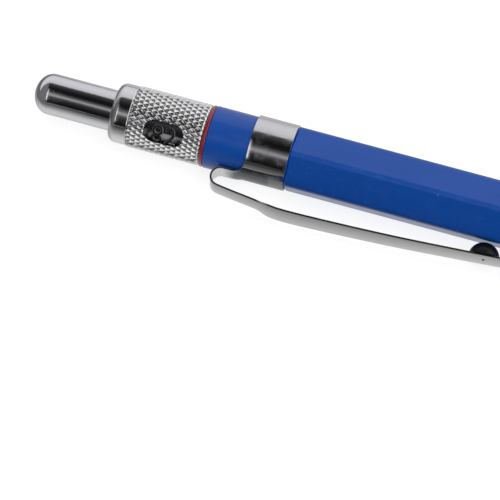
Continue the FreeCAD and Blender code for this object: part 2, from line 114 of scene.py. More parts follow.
class Surface:
    """A Principled material with short helpers for its procedural detail."""

    def __init__(self, name, colour, roughness, metallic=0.0, **sockets):
        self.material = bpy.data.materials.new(name)
        self.material.use_nodes = True
        self.tree = self.material.node_tree
        self.shader = self.tree.nodes["Principled BSDF"]
        self.place = self.tree.nodes.new("ShaderNodeTexCoord").outputs["Object"]
        self.set("Base Color", (*colour, 1.0))
        self.set("Roughness", roughness)
        self.set("Metallic", metallic)
        for socket, value in sockets.items():
            self.set(socket.replace("_", " "), value)

    def set(self, socket, value):
        """Give one of the shader's sockets a plain value or a link."""
        feed(self.tree, self.shader.inputs[socket], value)

    def node(self, kind, output, settings=(), **inputs):
        """Add a node and return one of its outputs.

        An input goes by its name with _ for a space, or by its number as i0, i1 and so on.
        """
        node = self.tree.nodes.new(kind)
        for attribute, value in dict(settings).items():
            setattr(node, attribute, value)
        for name, value in inputs.items():
            key = int(name[1:]) if name[0] == "i" and name[1:].isdigit() else name.replace("_", " ")
            feed(self.tree, node.inputs[key], value)
        return node.outputs[output]

    def stretched(self, along, around):
        """Coordinates whose detail repeats per millimetre along the axis and around it."""
        scale = (along / MM, around / MM, around / MM)
        return self.node("ShaderNodeMapping", "Vector", Vector=self.place, Scale=scale)

    def noise(self, along, around=None, detail=3.0, rough=0.5):
        """Noise from 0 to 1 with that many cells a millimetre along and around the axis."""
        place = self.stretched(along, along if around is None else around)
        return self.node(
            "ShaderNodeTexNoise", "Fac", Vector=place, Scale=1.0, Detail=detail, Roughness=rough
        )

    def ramp(self, factor, low, high, start=0.0, end=1.0):
        """Map factor from start..end onto low..high, clamped."""
        return self.node(
            "ShaderNodeMapRange",
            "Result",
            Value=factor,
            From_Min=start,
            From_Max=end,
            To_Min=low,
            To_Max=high,
        )

    def band(self, value, start, full, fade, end, before=0.0, after=0.0):
        """1 where value lies from full to fade, falling to before at start and to after at end."""
        return self.times(self.ramp(value, before, 1.0, start, full), self.ramp(value, 1.0, after, fade, end))

    def mix(self, factor, first, second):
        """Mix two colours."""
        node = self.tree.nodes.new("ShaderNodeMix")
        node.data_type = "RGBA"
        feed(self.tree, node.inputs[0], factor)
        for key, colour in ((6, first), (7, second)):
            feed(self.tree, node.inputs[key], (*colour, 1.0) if isinstance(colour, tuple) else colour)
        return node.outputs[2]

    def times(self, first, second):
        """Multiply two numbers."""
        return self.node("ShaderNodeMath", "Value", {"operation": "MULTIPLY"}, i0=first, i1=second)

    def plus(self, first, second):
        """Add two numbers."""
        return self.node("ShaderNodeMath", "Value", {"operation": "ADD"}, i0=first, i1=second)

    def distance(self, direction):
        """How far along a direction the surface lies from the origin, in millimetres."""
        per_mm = tuple(part / MM for part in direction)
        return self.node(
            "ShaderNodeVectorMath", "Value", {"operation": "DOT_PRODUCT"}, i0=self.place, i1=per_mm
        )

    def axis_radius(self):
        """Distance from the holder's axis, in millimetres."""
        across = self.node(
            "ShaderNodeVectorMath",
            "Vector",
            {"operation": "MULTIPLY"},
            i0=self.place,
            i1=(0.0, 1 / MM, 1 / MM),
        )
        return self.node("ShaderNodeVectorMath", "Value", {"operation": "LENGTH"}, i0=across)

    def bump(self, height, depth):
        """Raise the surface by height times depth millimetres."""
        normal = self.node("ShaderNodeBump", "Normal", Height=height, Distance=depth * MM, Strength=1.0)
        self.set("Normal", normal)


def chrome_plate():
    """Polished chrome with faint handling marks."""
    surface = Surface("chrome_plate", (0.86, 0.865, 0.89), 0.04, metallic=1.0)
    smears = surface.noise(0.25, 0.6, detail=4.0)
    surface.set("Roughness", surface.ramp(smears, 0.015, 0.05, 0.35, 0.75))
    fine = surface.noise(2.6, 3.4, detail=5.0, rough=0.7)
    surface.bump(surface.times(fine, surface.ramp(smears, 0.35, 1.0, 0.3, 0.7)), 0.009)
    return surface.material


def sheet_chrome():
    """Chromed sheet: dulled in clouds and scratches, with painted shade on the arm and on the band below it.
    """
    surface = Surface("sheet_chrome", (0.80, 0.80, 0.81), 0.12, metallic=1.0)
    clouds = surface.noise(0.45, detail=6.0, rough=0.62)
    grain = surface.noise(3.0, detail=4.0, rough=0.7)
    metal = surface.mix(grain, (0.76, 0.76, 0.77), (0.90, 0.90, 0.905))
    radius = surface.axis_radius()
    below_middle = surface.distance(-onward(CLIP_ANGLE))
    # Painted shade: across its width the arm is painted darker towards its upper edge.
    on_arm = surface.ramp(radius, 0.0, 0.75, 6.2, 7.2)
    painted_arm_shade = surface.times(on_arm, surface.ramp(below_middle, 0.0, 1.0, -1.2, 2.0))
    shaded = surface.mix(painted_arm_shade, metal, (0.36, 0.36, 0.36))
    on_band = surface.ramp(radius, 1.0, 0.0, 4.9, 5.2)
    # Painted shade: the band is painted dark under the arm, standing in for the arm's dark reflection there.
    under_arm = surface.times(on_band, surface.band(below_middle, -1.7, -1.1, 1.7, 2.1, before=0.2))
    beside_arm = surface.band(surface.distance((1.0, 0.0, 0.0)), -81.3, -79.6, -74.9, -74.4, after=0.85)
    painted_shade_under_arm = surface.times(under_arm, beside_arm)
    surface.set("Base Color", surface.mix(painted_shade_under_arm, shaded, (0.155, 0.16, 0.17)))
    surface.set("Roughness", surface.ramp(surface.ramp(clouds, 0.0, 1.0, 0.46, 0.62), 0.05, 0.24))
    scratches = surface.noise(9.0, 0.35, detail=3.0, rough=0.6)
    surface.bump(surface.plus(surface.times(grain, 0.6), surface.times(scratches, 0.4)), 0.007)
    return surface.material


def knurled_chrome():
    """Chrome over a knurl: bright crests, darker down in the grooves."""
    surface = Surface("knurled_chrome", (0.90, 0.90, 0.91), 0.08, metallic=1.0)
    depth = surface.ramp(surface.axis_radius(), 0.0, 1.0, 4.15, 4.33)
    speckle = surface.noise(2.2, detail=4.0)
    crest = surface.mix(speckle, (0.86, 0.86, 0.88), (0.96, 0.96, 0.96))
    surface.set("Base Color", surface.mix(depth, (0.50, 0.50, 0.51), crest))
    surface.set("Roughness", surface.ramp(speckle, 0.05, 0.13, 0.3, 0.7))
    surface.bump(surface.noise(6.0), 0.004)
    return surface.material


def turned_aluminium():
    """Satin metal with the fine rings that the lathe tool leaves."""
    surface = Surface("turned_aluminium", (0.82, 0.83, 0.86), 0.22, metallic=1.0, Anisotropic=0.3)
    rings = surface.noise(7.0, 0.04, detail=4.0, rough=0.6)
    clouds = surface.noise(0.5, detail=4.0)
    surface.set("Base Color", surface.mix(clouds, (0.79, 0.80, 0.835), (0.88, 0.885, 0.905)))
    surface.set("Roughness", surface.ramp(rings, 0.17, 0.27, 0.3, 0.7))
    surface.bump(rings, 0.005)
    return surface.material


def blue_lacquer():
    """Glossy blue lacquer, rubbed through in specks along the barrel's corners."""
    surface = Surface(
        "blue_lacquer",
        (0.003, 0.060, 0.31),
        0.22,
        Coat_Weight=0.4,
        Coat_Roughness=0.04,
        Specular_IOR_Level=0.4,
    )
    body = surface.noise(0.12, 0.4)
    paint = surface.mix(body, (0.003, 0.053, 0.29), (0.005, 0.066, 0.335))
    corner = surface.ramp(surface.axis_radius(), 0.0, 1.0, 4.80, 4.92)
    specks = surface.ramp(surface.noise(1.9, 2.4, detail=4.0, rough=0.65), 0.0, 1.0, 0.71, 0.75)
    wear_and_painted_highlight = surface.ramp(surface.noise(0.45, 0.7, detail=7.0, rough=0.7), 0.0, 0.26, 0.70, 0.79)
    paint = surface.mix(wear_and_painted_highlight, paint, (0.22, 0.34, 0.55))
    surface.set("Base Color", surface.mix(surface.times(corner, specks), paint, (0.55, 0.60, 0.68)))
    surface.set("Roughness", surface.ramp(surface.noise(0.7, detail=5.0), 0.18, 0.30, 0.3, 0.7))
    surface.bump(surface.noise(0.35, 0.6, detail=2.0), 0.006)
    return surface.material


def gloss_plastic(name, colour, other):
    """Moulded gloss plastic with a little colour drift and orange peel."""
    surface = Surface(name, colour, 0.2, Coat_Weight=1.0, Coat_Roughness=0.05)
    surface.set("Base Color", surface.mix(surface.noise(0.8), colour, other))
    surface.set("Roughness", surface.ramp(surface.noise(1.5, detail=4.0), 0.14, 0.30, 0.3, 0.7))
    surface.bump(surface.noise(2.0), 0.008)
    return surface.material


def index_print():
    """Glossy black: painted highlights on the raised figures' edges, a painted reflection below their middle.
    """
    ink = (0.012, 0.012, 0.014)
    surface = Surface("index_print", ink, 0.12, Coat_Weight=1.0, Coat_Roughness=0.03)
    radius = surface.axis_radius()
    # Painted highlight: the figures' bevelled edges are painted pale, in patches.
    edges = surface.band(radius, 3.53, 3.56, 3.70, 3.735)
    wear_and_painted_highlight = surface.times(edges, surface.ramp(surface.noise(1.4), 0.25, 1.0, 0.35, 0.6))
    # Painted reflection: a pale, patchy band on the ground just below the figures' middle.
    below_middle = surface.band(surface.distance(onward(WINDOW_ANGLE)), 0.1, 0.35, 1.1, 1.4)
    ground = surface.times(surface.ramp(radius, 1.0, 0.0, 3.5, 3.53), below_middle)
    painted_reflection = surface.times(ground, surface.ramp(surface.noise(0.9), 0.0, 1.0, 0.44, 0.6))
    black = surface.mix(painted_reflection, ink, (0.30, 0.30, 0.31))
    surface.set("Base Color", surface.mix(wear_and_painted_highlight, black, (0.34, 0.34, 0.35)))
    surface.set("Roughness", surface.ramp(surface.noise(1.5, detail=4.0), 0.08, 0.22, 0.3, 0.7))
    surface.bump(surface.noise(2.0), 0.006)
    return surface.material


def hard_point():
    """Dark hard rod: fine grit, and streaks round the ground cone."""
    surface = Surface("hard_point", (0.12, 0.115, 0.11), 0.32, metallic=0.8)
    streaks = surface.noise(7.0, 0.4, detail=5.0, rough=0.7)
    surface.set("Base Color", surface.mix(streaks, (0.09, 0.085, 0.08), (0.24, 0.23, 0.215)))
    surface.set("Roughness", surface.ramp(streaks, 0.26, 0.44, 0.3, 0.7))
    surface.bump(surface.noise(9.0, detail=4.0), 0.012)
    return surface.material


def turned_metal(name, colour, other, roughness):
    """Plain turned or drawn metal for the inner parts."""
    surface = Surface(name, colour, roughness, metallic=1.0)
    rings = surface.noise(6.0, 0.2, detail=4.0, rough=0.65)
    surface.set("Base Color", surface.mix(rings, colour, other))
    surface.set("Roughness", surface.ramp(rings, roughness - 0.08, roughness + 0.1, 0.3, 0.7))
    surface.bump(rings, 0.01)
    return surface.material


def black_rubber():
    """Matt black rubber."""
    surface = Surface("black_rubber", (0.02, 0.02, 0.02), 0.75, Sheen_Weight=0.2)
    grain = surface.noise(5.0, detail=4.0)
    surface.set("Base Color", surface.mix(grain, (0.015, 0.015, 0.015), (0.035, 0.035, 0.035)))
    surface.bump(grain, 0.02)
    return surface.material


MATERIALS = {
    "blue_lacquer": blue_lacquer(),
    "chrome_plate": chrome_plate(),
    "sheet_chrome": sheet_chrome(),
    "knurled_chrome": knurled_chrome(),
    "turned_aluminium": turned_aluminium(),
    "hard_point": hard_point(),
    "inner_brass": turned_metal("inner_brass", (0.62, 0.45, 0.18), (0.74, 0.57, 0.27), 0.26),
    "spring_steel": turned_metal("spring_steel", (0.42, 0.42, 0.44), (0.58, 0.58, 0.60), 0.28),
    "red_gloss": gloss_plastic("red_gloss", (0.17, 0.007, 0.014), (0.24, 0.010, 0.020)),
    "black_gloss": gloss_plastic("black_gloss", (0.010, 0.010, 0.012), (0.018, 0.018, 0.020)),
    "index_print": index_print(),
    "black_rubber": black_rubber(),
    "dark_ball": turned_metal("dark_ball", (0.028, 0.029, 0.025), (0.06, 0.062, 0.055), 0.38),
}
SLOT_OF = {part["node"]: part["material_slot"] for part in frame["record"]["subparts"]}


# --- Mesh helpers ----------------------------------------------------------------------------


def piece(name, vertices, faces, node, turn=0.0, sharp=32.0, rides=True, finish=None):
    """A mesh piece in millimetres that takes over from a CAD node and rides on its body.

    It is turned about the axis by turn degrees, and edges of more than sharp degrees stay sharp. Its
    finish is the CAD node's own unless another material is named.
    """
    mesh = bpy.data.meshes.new(name)
    mesh.from_pydata([Vector(vertex) * MM for vertex in vertices], [], faces)
    work = bmesh.new()
    work.from_mesh(mesh)
    bmesh.ops.recalc_face_normals(work, faces=work.faces)
    work.to_mesh(mesh)
    work.free()
    mesh.transform(Matrix.Rotation(math.radians(turn), 4, "X"))
    mesh.shade_smooth()
    mesh.set_sharp_from_angle(angle=math.radians(sharp))
    thing = bpy.data.objects.new(name, mesh)
    bpy.context.scene.collection.objects.link(thing)
    coat(thing, finish or SLOT_OF[node])
    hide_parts(node)
    if rides:
        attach(thing, body_of(node))
    return thing


def coat(thing, finish):
    """Give an object one material."""
    thing.data.materials.clear()
    thing.data.materials.append(MATERIALS[finish])


def body_of(node):
    """The CAD body that a node belongs to."""
    return next(body for body, nodes in frame["record"]["behaviour"]["bodies"].items() if node in nodes)


def softened(corners, steps=5):
    """Round the corners of a profile; each corner is (x, r, rounding radius)."""
    points = []
    count = len(corners)
    for k, (x, r, rounding) in enumerate(corners):
        here = Vector((x, r))
        before = Vector(corners[k - 1][:2]) - here
        after = Vector(corners[(k + 1) % count][:2]) - here
        if rounding <= 0 or before.length < 1e-6 or after.length < 1e-6:
            points.append((x, r))
            continue
        half = before.angle(after) / 2
        reach = min(rounding / math.tan(half), before.length * 0.49, after.length * 0.49)
        start = here + before.normalized() * reach
        end = here + after.normalized() * reach
        for step in range(steps + 1):
            t = step / steps
            bend = start * (1 - t) ** 2 + here * 2 * t * (1 - t) + end * t ** 2
            points.append((bend.x, bend.y))
    return points


def spun(profile, columns=128):
    """Vertices and faces of a closed profile of (x, r) points turned about the X axis."""
    vertices, rows = [], []
    for x, r in profile:
        if r < 1e-6:
            rows.append(add_row(vertices, [(x, 0.0, 0.0)]) * columns)
        else:
            rows.append(add_row(vertices, [at(x, r, turn) for turn in full_turn(columns)]))
    return vertices, quads(rows, loop=True)


def at(x, r, turn):
    """The point at a place along the axis, a radius, and an angle round the axis in radians."""
    return x, -r * math.sin(turn), r * math.cos(turn)


def full_turn(columns):
    """Angles all the way round in equal steps, in radians."""
    return [2 * math.pi * column / columns for column in range(columns)]


def add_row(vertices, row):
    """Add a row of points to the vertices and return their numbers."""
    first = len(vertices)
    vertices += row
    return list(range(first, len(vertices)))


def quads(rows, ring=True, loop=False):
    """Quads between each row of vertex numbers and the next.

    A ring also closes each row on itself, and a loop also goes from the last row to the first.
    """
    faces = []
    for row, after in zip(rows, rows[1:] + rows[:1] if loop else rows[1:]):
        for k in range(len(row) if ring else len(row) - 1):
            beside = (k + 1) % len(row)
            face = tuple(dict.fromkeys((row[k], row[beside], after[beside], after[k])))
            if len(face) > 2:
                faces.append(face)
    return faces


def quarter_turn(steps):
    """Angles from 0 to 90 degrees in equal steps, in radians."""
    return [math.radians(90 * step / steps) for step in range(steps + 1)]


def turned(name, node, corners, columns=128, **options):
    """A lathe-turned piece that replaces a CAD node."""
    vertices, faces = spun(softened(corners), columns)
    return piece(name, vertices, faces, node, **options)


# --- Knurls ----------------------------------------------------------------------------------

KNURL_STARTS = 34
KNURL_LEAD = 1.5
KNURL_DEPTH = 0.2
KNURL_CHAMFER = 0.8
KNURL_FINE = 3
KNURL_COLUMNS = 2 * KNURL_FINE * KNURL_STARTS


def knurl_height(row, column):
    """0 in a groove and 1 on a crest, for a grid with KNURL_FINE steps to half a diamond."""

    def wave(place):
        return 1 - abs(2 * (place % 1) - 1)

    across, along = column / KNURL_FINE, row / KNURL_FINE
    crest = (KNURL_FINE - 1) / KNURL_FINE
    return min(wave((across + along) / 2), wave((across - along) / 2), crest) / crest


def knurl_rows(start, end, crest, edge=0.25):
    """Rows of radii for a diamond knurl whose ends are chamfered over the edge length.

    KNURL_CHAMFER is the chamfer's share of the knurl's depth.
    """
    count = round((end - start) / (KNURL_LEAD / 2 / KNURL_FINE))
    rows = []
    for row in range(count + 1):
        x = start + (end - start) * row / count
        inset = min(1, min(x - start, end - x) / edge)
        limit = crest - KNURL_DEPTH * KNURL_CHAMFER * (1 - inset)
        radii = [
            min(limit, crest - KNURL_DEPTH * (1 - knurl_height(row, column)))
            for column in range(KNURL_COLUMNS)
        ]
        rows.append((x, radii))
    return rows


def knurled(name, node, behind, knurl, before, **options):
    """A sleeve with a knurl between two plain stretches of profile, closed through its bore."""
    plain = [[(x, [r] * KNURL_COLUMNS) for x, r in softened_open(part)] for part in (behind, before)]
    profile = plain[0] + knurl + plain[1]
    vertices, rows = [], []
    turns = full_turn(KNURL_COLUMNS)
    for x, radii in profile:
        rows.append(add_row(vertices, [at(x, r, turn) for r, turn in zip(radii, turns)]))
    first, last = len(plain[0]), len(plain[0]) + len(knurl) - 1
    faces = quads(rows[last:] + rows[: first + 1])
    for row in range(first, last):
        for column in range(KNURL_COLUMNS):
            beside = (column + 1) % KNURL_COLUMNS
            a, b = rows[row][column], rows[row][beside]
            c, d = rows[row + 1][beside], rows[row + 1][column]
            if (row - first - column) % 2 == 0:
                faces += [(a, b, c), (a, c, d)]
            else:
                faces += [(a, b, d), (b, c, d)]
    return piece(name, vertices, faces, node, sharp=24.0, **options)


def softened_open(corners, steps=5):
    """Round the inner corners of an open profile; its two end points stay."""
    first, last = corners[0][:2], corners[-1][:2]
    inside = softened(corners, steps)
    start = inside.index(first)
    end = len(inside) - 1 - inside[::-1].index(last)
    return inside[start : end + 1]


# --- Front end: point, nose and grip ---------------------------------------------------------


def make_point():
    """The rod, with its ground cone and slightly blunt tip."""
    start, tip = ends("scribing_point")
    radius = radius_of("scribing_point")
    turned(
        "point_rod",
        "scribing_point",
        [
            (start, 0, 0),
            (start, radius, 0.12),
            (tip - 3.9, radius, 0.5),
            (tip - 2.5, 0.77, 1.0),
            (tip - 1.1, 0.48, 1.0),
            (tip, 0.17, 0.2),
            (tip, 0, 0),
        ],
        columns=64,
    )


def make_nose():
    """The turned cone, with its spigot, chamber and small rounded mouth."""
    start, mouth = ends("nose_cone")
    shoulder = ends("grip_sleeve")[1] + 0.03
    base = radius_of("nose_cone")
    spigot, spigot_bore, spigot_length = 3.63, 3.1, 7
    lip, hole, hole_length = 1.56, 1.08, 5.2
    pocket, pocket_end, chamber = 1.8, 10.2, 2.55
    turned(
        "nose",
        "nose_cone",
        [
            (start, spigot_bore, 0),
            (start, spigot, 0.1),
            (shoulder, spigot, 0),
            (shoulder, base, 0.12),
            (mouth, lip, 0.22),
            (mouth, hole, 0.12),
            (mouth - hole_length, hole, 0),
            (mouth - hole_length, pocket, 0),
            (mouth - pocket_end, pocket, 0),
            (mouth - pocket_end, chamber, 0),
            (start + spigot_length, spigot_bore, 0),
        ],
    )


def make_grip():
    """The grip sleeve: a diamond knurl behind a smooth ring with a rounded shoulder."""
    rear, front = ends("grip_sleeve")
    crest = radius_of("grip_sleeve")
    ring = front - 4.6
    groove = crest - 0.26
    rear_bore, front_bore, bore_step = 3.4, 3.65, front - 8.5
    shoulder_length, shoulder_drop = 0.9, 0.4
    shoulder = [
        (
            front - shoulder_length + shoulder_length * math.sin(turn),
            crest - shoulder_drop * (1 - math.cos(turn)),
            0,
        )
        for turn in quarter_turn(8)
    ]
    knurled(
        "grip",
        "grip_sleeve",
        [
            (bore_step, rear_bore, 0),
            (rear, rear_bore, 0),
            (rear, crest - 0.3, 0),
            (rear + 0.04, crest - 0.2, 0),
        ],
        knurl_rows(rear + 0.06, ring - 0.14, crest),
        [
            (ring - 0.12, groove, 0),
            (ring, groove, 0),
            (ring, crest, 0.08),
            *shoulder,
            (front, front_bore, 0),
            (bore_step, front_bore, 0),
        ],
    )


# --- Barrel ----------------------------------------------------------------------------------

HEX_ACROSS = 8.85
HEX_FILLET = 1.1
HEX_CHAMFER = 0.18


def hexagon(across, fillet, steps=9, spans=8):
    """(angle, radius) points round a hexagon with filleted corners and a flat facing up."""
    reach = across / math.sqrt(3) - fillet / math.cos(math.radians(30))
    points = []
    for corner in range(6):
        middle = math.radians(30 + 60 * corner)
        centre = Vector((math.sin(middle), math.cos(middle))) * reach
        for step in range(steps + 1):
            turn = middle + math.radians(-30 + 60 * step / steps)
            points.append(centre + Vector((math.sin(turn), math.cos(turn))) * fillet)
        after = middle + math.radians(60)
        start = points[-1]
        end = Vector((math.sin(after), math.cos(after))) * reach
        end += Vector((math.sin(turn), math.cos(turn))) * fillet
        points += [start.lerp(end, span / spans) for span in range(1, spans)]
    return [(math.atan2(y, z), math.hypot(y, z)) for y, z in points]


def make_barrel():
    """The hex barrel, its turned rear end and the bores for the bushes."""
    rear, front = ends("barrel")
    shoulder = ends("clip_band")[1] + 0.08
    round_end = radius_of("barrel")
    bush_bore, core_bore, rear_depth, front_depth = 3.5, 3.3, 14.7, 10
    chamfer = 0.1
    ring = hexagon(HEX_ACROSS, HEX_FILLET)
    small = hexagon(HEX_ACROSS - 2 * HEX_CHAMFER, HEX_FILLET)

    def circle(x, radius):
        return [at(x, radius, turn) for turn, _ in ring]

    def section(x, outline):
        return [at(x, r, turn) for turn, r in outline]

    steps = 12
    lengths = [shoulder + HEX_CHAMFER + (front - 0.3 - shoulder) * step / steps for step in range(steps + 1)]
    loops = [
        circle(rear + rear_depth, bush_bore),
        circle(rear, bush_bore),
        circle(rear, round_end - chamfer),
        circle(rear + chamfer, round_end),
        circle(shoulder, round_end),
        section(shoulder, small),
        *(section(x, ring) for x in lengths),
        section(front, small),
        circle(front, bush_bore),
        circle(front - front_depth, bush_bore),
        circle(front - front_depth, core_bore),
        circle(rear + rear_depth, core_bore),
    ]
    vertices = []
    rows = [add_row(vertices, loop) for loop in loops]
    barrel = piece("hex_barrel", vertices, quads(rows, loop=True), "barrel", sharp=38.0)
    keep_flats_even(barrel)


# --- Index: red ring, drum with its digits, and the knurled collar ---------------------------

# The first number stands FIGURE_LEAD degrees past the window's middle, and the others follow it evenly.
FIGURE_HEIGHT = 2.75
FIGURE_BEVEL = 0.1
FIGURE_LEAD = 11
NUMBERS = ("82", "14", "27", "36", "40", "53")


def make_red_ring():
    """The thin red ring with a rounded rim."""
    rear, front = ends("red_ring")
    rim = radius_of("red_ring")
    inner = rim - 1.05
    turned("red_band", "red_ring", [(rear, inner, 0), (rear, rim, 0.3), (front, rim, 0.3), (front, inner, 0)])


def wrapped_digits(text, radius, x, turn):
    """Raised digits bent onto a cylinder: (vertices, faces) that stand at an angle round it."""
    size_per_height = 1.4
    curve = bpy.data.curves.new("digits", "FONT")
    curve.body = text
    curve.size = FIGURE_HEIGHT * size_per_height
    curve.extrude = 0.05
    curve.bevel_depth = FIGURE_BEVEL
    curve.bevel_resolution = 2
    curve.offset = -0.06
    curve.align_x = "CENTER"
    curve.align_y = "CENTER"
    holder = bpy.data.objects.new("digits", curve)
    bpy.context.scene.collection.objects.link(holder)
    bpy.context.view_layer.update()
    mesh = bpy.data.meshes.new_from_object(holder.evaluated_get(bpy.context.evaluated_depsgraph_get()))
    vertices = []
    for vertex in mesh.vertices:
        angle = math.radians(turn) - vertex.co.y / radius
        vertices.append(at(x + vertex.co.x, radius + FIGURE_BEVEL + vertex.co.z, angle))
    faces = [tuple(polygon.vertices) for polygon in mesh.polygons]
    bpy.data.objects.remove(holder)
    bpy.data.meshes.remove(mesh)
    bpy.data.curves.remove(curve)
    return vertices, faces


def make_drum():
    """The black index drum with numbers all round it, one of them in the window."""
    rear, front = ends("index_drum")
    raised, wall = 0.25, 0.2
    radius = radius_of("index_drum") - raised
    inner = radius - wall
    corners = [(rear, inner, 0), (rear, radius, 0.05), (front, radius, 0.05), (front, inner, 0)]
    vertices, faces = spun(softened(corners))
    window_x = ends("index_collar")[0] + WINDOW_FROM_REAR
    for step, number in enumerate(NUMBERS):
        turn = WINDOW_ANGLE + FIGURE_LEAD + 360 / len(NUMBERS) * step
        more, shapes = wrapped_digits(number, radius, window_x, turn)
        faces += [tuple(corner + len(vertices) for corner in shape) for shape in shapes]
        vertices += more
    piece("numbered_drum", vertices, faces, "index_drum", sharp=40.0, finish="index_print")


def window_cutter(x, length, width, corner):
    """A rounded block that stands off the axis at the window's angle, to cut through the collar."""
    bottom, height = 3.2, 2
    steps = 8
    work = bmesh.new()
    outline = []
    for side_x, side_y, start in ((1, 1, 0), (-1, 1, 90), (-1, -1, 180), (1, -1, 270)):
        for step in range(steps + 1):
            turn = math.radians(start + 90 * step / steps)
            px = x + side_x * (length / 2 - corner) + corner * math.cos(turn)
            py = side_y * (width / 2 - corner) + corner * math.sin(turn)
            outline.append(work.verts.new((px * MM, py * MM, bottom * MM)))
    base = work.faces.new(outline)
    raised = bmesh.ops.extrude_face_region(work, geom=[base])["geom"]
    top = [item for item in raised if isinstance(item, bmesh.types.BMVert)]
    bmesh.ops.translate(work, verts=top, vec=(0, 0, height * MM))
    bmesh.ops.recalc_face_normals(work, faces=work.faces)
    mesh = bpy.data.meshes.new("window_cutter")
    work.to_mesh(mesh)
    work.free()
    mesh.transform(Matrix.Rotation(math.radians(WINDOW_ANGLE), 4, "X"))
    cutter = bpy.data.objects.new("window_cutter", mesh)
    bpy.context.scene.collection.objects.link(cutter)
    return cutter


def keep_flats_even(thing):
    """Shade a piece's flats evenly, without the pull of the small faces along their edges."""
    even = thing.modifiers.new("even_flats", "WEIGHTED_NORMAL")
    even.keep_sharp = True


def apply_modifiers(thing):
    """Replace a piece's mesh by its modified one."""
    bpy.context.view_layer.update()
    evaluated = thing.evaluated_get(bpy.context.evaluated_depsgraph_get())
    mesh = bpy.data.meshes.new_from_object(evaluated)
    thing.modifiers.clear()
    thing.data = mesh


def make_collar():
    """The knurled index collar: a smooth rounded lip behind, and the window through its wall."""
    rear, front = ends("index_collar")
    crest = radius_of("index_collar")
    lip_end = rear + 2.8
    lip = crest - 0.14
    lip_rounding = 1.15
    wall = rear + 1.7
    bore = radius_of("index_drum") + 0.06
    hole = radius_of("push_button") + 0.07
    rounding = [
        (rear + lip_rounding * (1 - math.cos(turn)), lip - lip_rounding * (1 - math.sin(turn)), 0)
        for turn in quarter_turn(9)
    ]
    collar = knurled(
        "collar_knurl",
        "index_collar",
        [
            (wall, bore, 0),
            (wall, hole, 0),
            (rear, hole, 0),
            *rounding,
            (lip_end - 0.1, lip, 0),
            (lip_end, lip - 0.06, 0),
        ],
        knurl_rows(lip_end + 0.02, front - 0.02, crest),
        [(front, crest - 0.2, 0), (front, bore, 0), (front - 0.5, bore, 0)],
    )
    cutter = window_cutter(rear + WINDOW_FROM_REAR, length=5.8, width=3.3, corner=1.4)
    cut = collar.modifiers.new("window", "BOOLEAN")
    cut.object = cutter
    cut.solver = "EXACT"
    apply_modifiers(collar)
    bpy.data.objects.remove(cutter)


# --- Push button -----------------------------------------------------------------------------


def make_button():
    """The domed cap, with its hollow skirt."""
    rear, front = ends("push_button")
    radius = radius_of("push_button")
    dome_height = 2.45
    bore, bore_end = 2.05, rear + 4.69
    dome = [
        (rear + dome_height * (1 - math.cos(turn)), radius * math.sin(turn), 0)
        for turn in quarter_turn(15)
    ]
    turned(
        "button_cap",
        "push_button",
        [*dome, (front, radius, 0.1), (front, bore, 0.05), (bore_end, bore, 0), (bore_end, 0, 0)],
    )


# --- Pocket clip -----------------------------------------------------------------------------

CLIP_SHEET = 0.27
BAND_LENGTH = 5.85
BAND_GAP = 0.02
SEAM_HALF = 0.25
TONGUE_HALF = 1.47
SHOULDER_HALF = 2.03
TIP_HALF = 1.56
TONGUE_HEIGHT = 4.72
ROOT_LENGTH = 1.7
ROOT_FILLET = 1.6
BEND_RADIUS = 1.37
FLARE_START = -75.4
FLARE_LENGTH = 2.1
TAPER_START = -69.8
TIP_CORNER = 1.2
STRIP_COLUMNS = 10
# The middle of the arm's sheet from the bend to the tip, as (x, height above the axis).
ARM_LINE = (
    (-80.8, 7.56),
    (-79.0, 7.81),
    (-77.1, 8.03),
    (-75.3, 8.28),
    (-73.5, 8.68),
    (-71.6, 8.84),
    (-68.1, 8.80),
    (-61.1, 8.53),
    (-54.1, 8.16),
    (-47.2, 7.66),
    (-44.0, 7.42),
    (-38.5, 7.00),
)


def smooth_step(value):
    """0 below 0, 1 above 1, with a smooth slope between."""
    value = max(0.0, min(1.0, value))
    return value * value * (3 - 2 * value)


def through(points, steps):
    """A smooth line through (x, height) points, as a list of closer points."""
    line = []
    for k in range(len(points) - 1):
        before = Vector(points[max(k - 1, 0)])
        start, end = Vector(points[k]), Vector(points[k + 1])
        after = Vector(points[min(k + 2, len(points) - 1)])
        for step in range(steps):
            t = step / steps
            leave, arrive = (end - before) / 2, (after - start) / 2
            h1, h2 = (1 + 2 * t) * (1 - t) ** 2, t * (1 - t) ** 2
            h3, h4 = t * t * (3 - 2 * t), t * t * (t - 1)
            line.append(tuple(start * h1 + leave * h2 + end * h3 + arrive * h4))
    line.append(tuple(points[-1]))
    return line


def clip_stations(band_rear, band_height):
    """(x, height, half width, roundness) along the strip, from the band's rear edge to the tip."""
    foot = ends("clip_arm")[0] + CLIP_SHEET / 2 + BEND_RADIUS
    stations = root_stations(band_rear, band_height) + bend_stations(band_rear, foot)
    return stations + arm_stations(stations[-1][:2])


def root_stations(band_rear, band_height, steps=8):
    """The tongue's root, where the sheet goes from the band's curve to a flat strip."""
    stations = []
    for step in range(1, steps + 1):
        t = step / steps
        height = band_height + (TONGUE_HEIGHT - band_height) * smooth_step(t)
        half = TONGUE_HALF + root_fillet(ROOT_LENGTH * t)
        stations.append((band_rear - ROOT_LENGTH * t, height, half, 1 - smooth_step(t)))
    return stations


def root_fillet(distance):
    """How much wider the tongue is at a distance from the band, for the fillet at its root."""
    left = max(0.0, 1 - distance / ROOT_FILLET)
    return ROOT_FILLET * (1 - math.sqrt(1 - left * left))


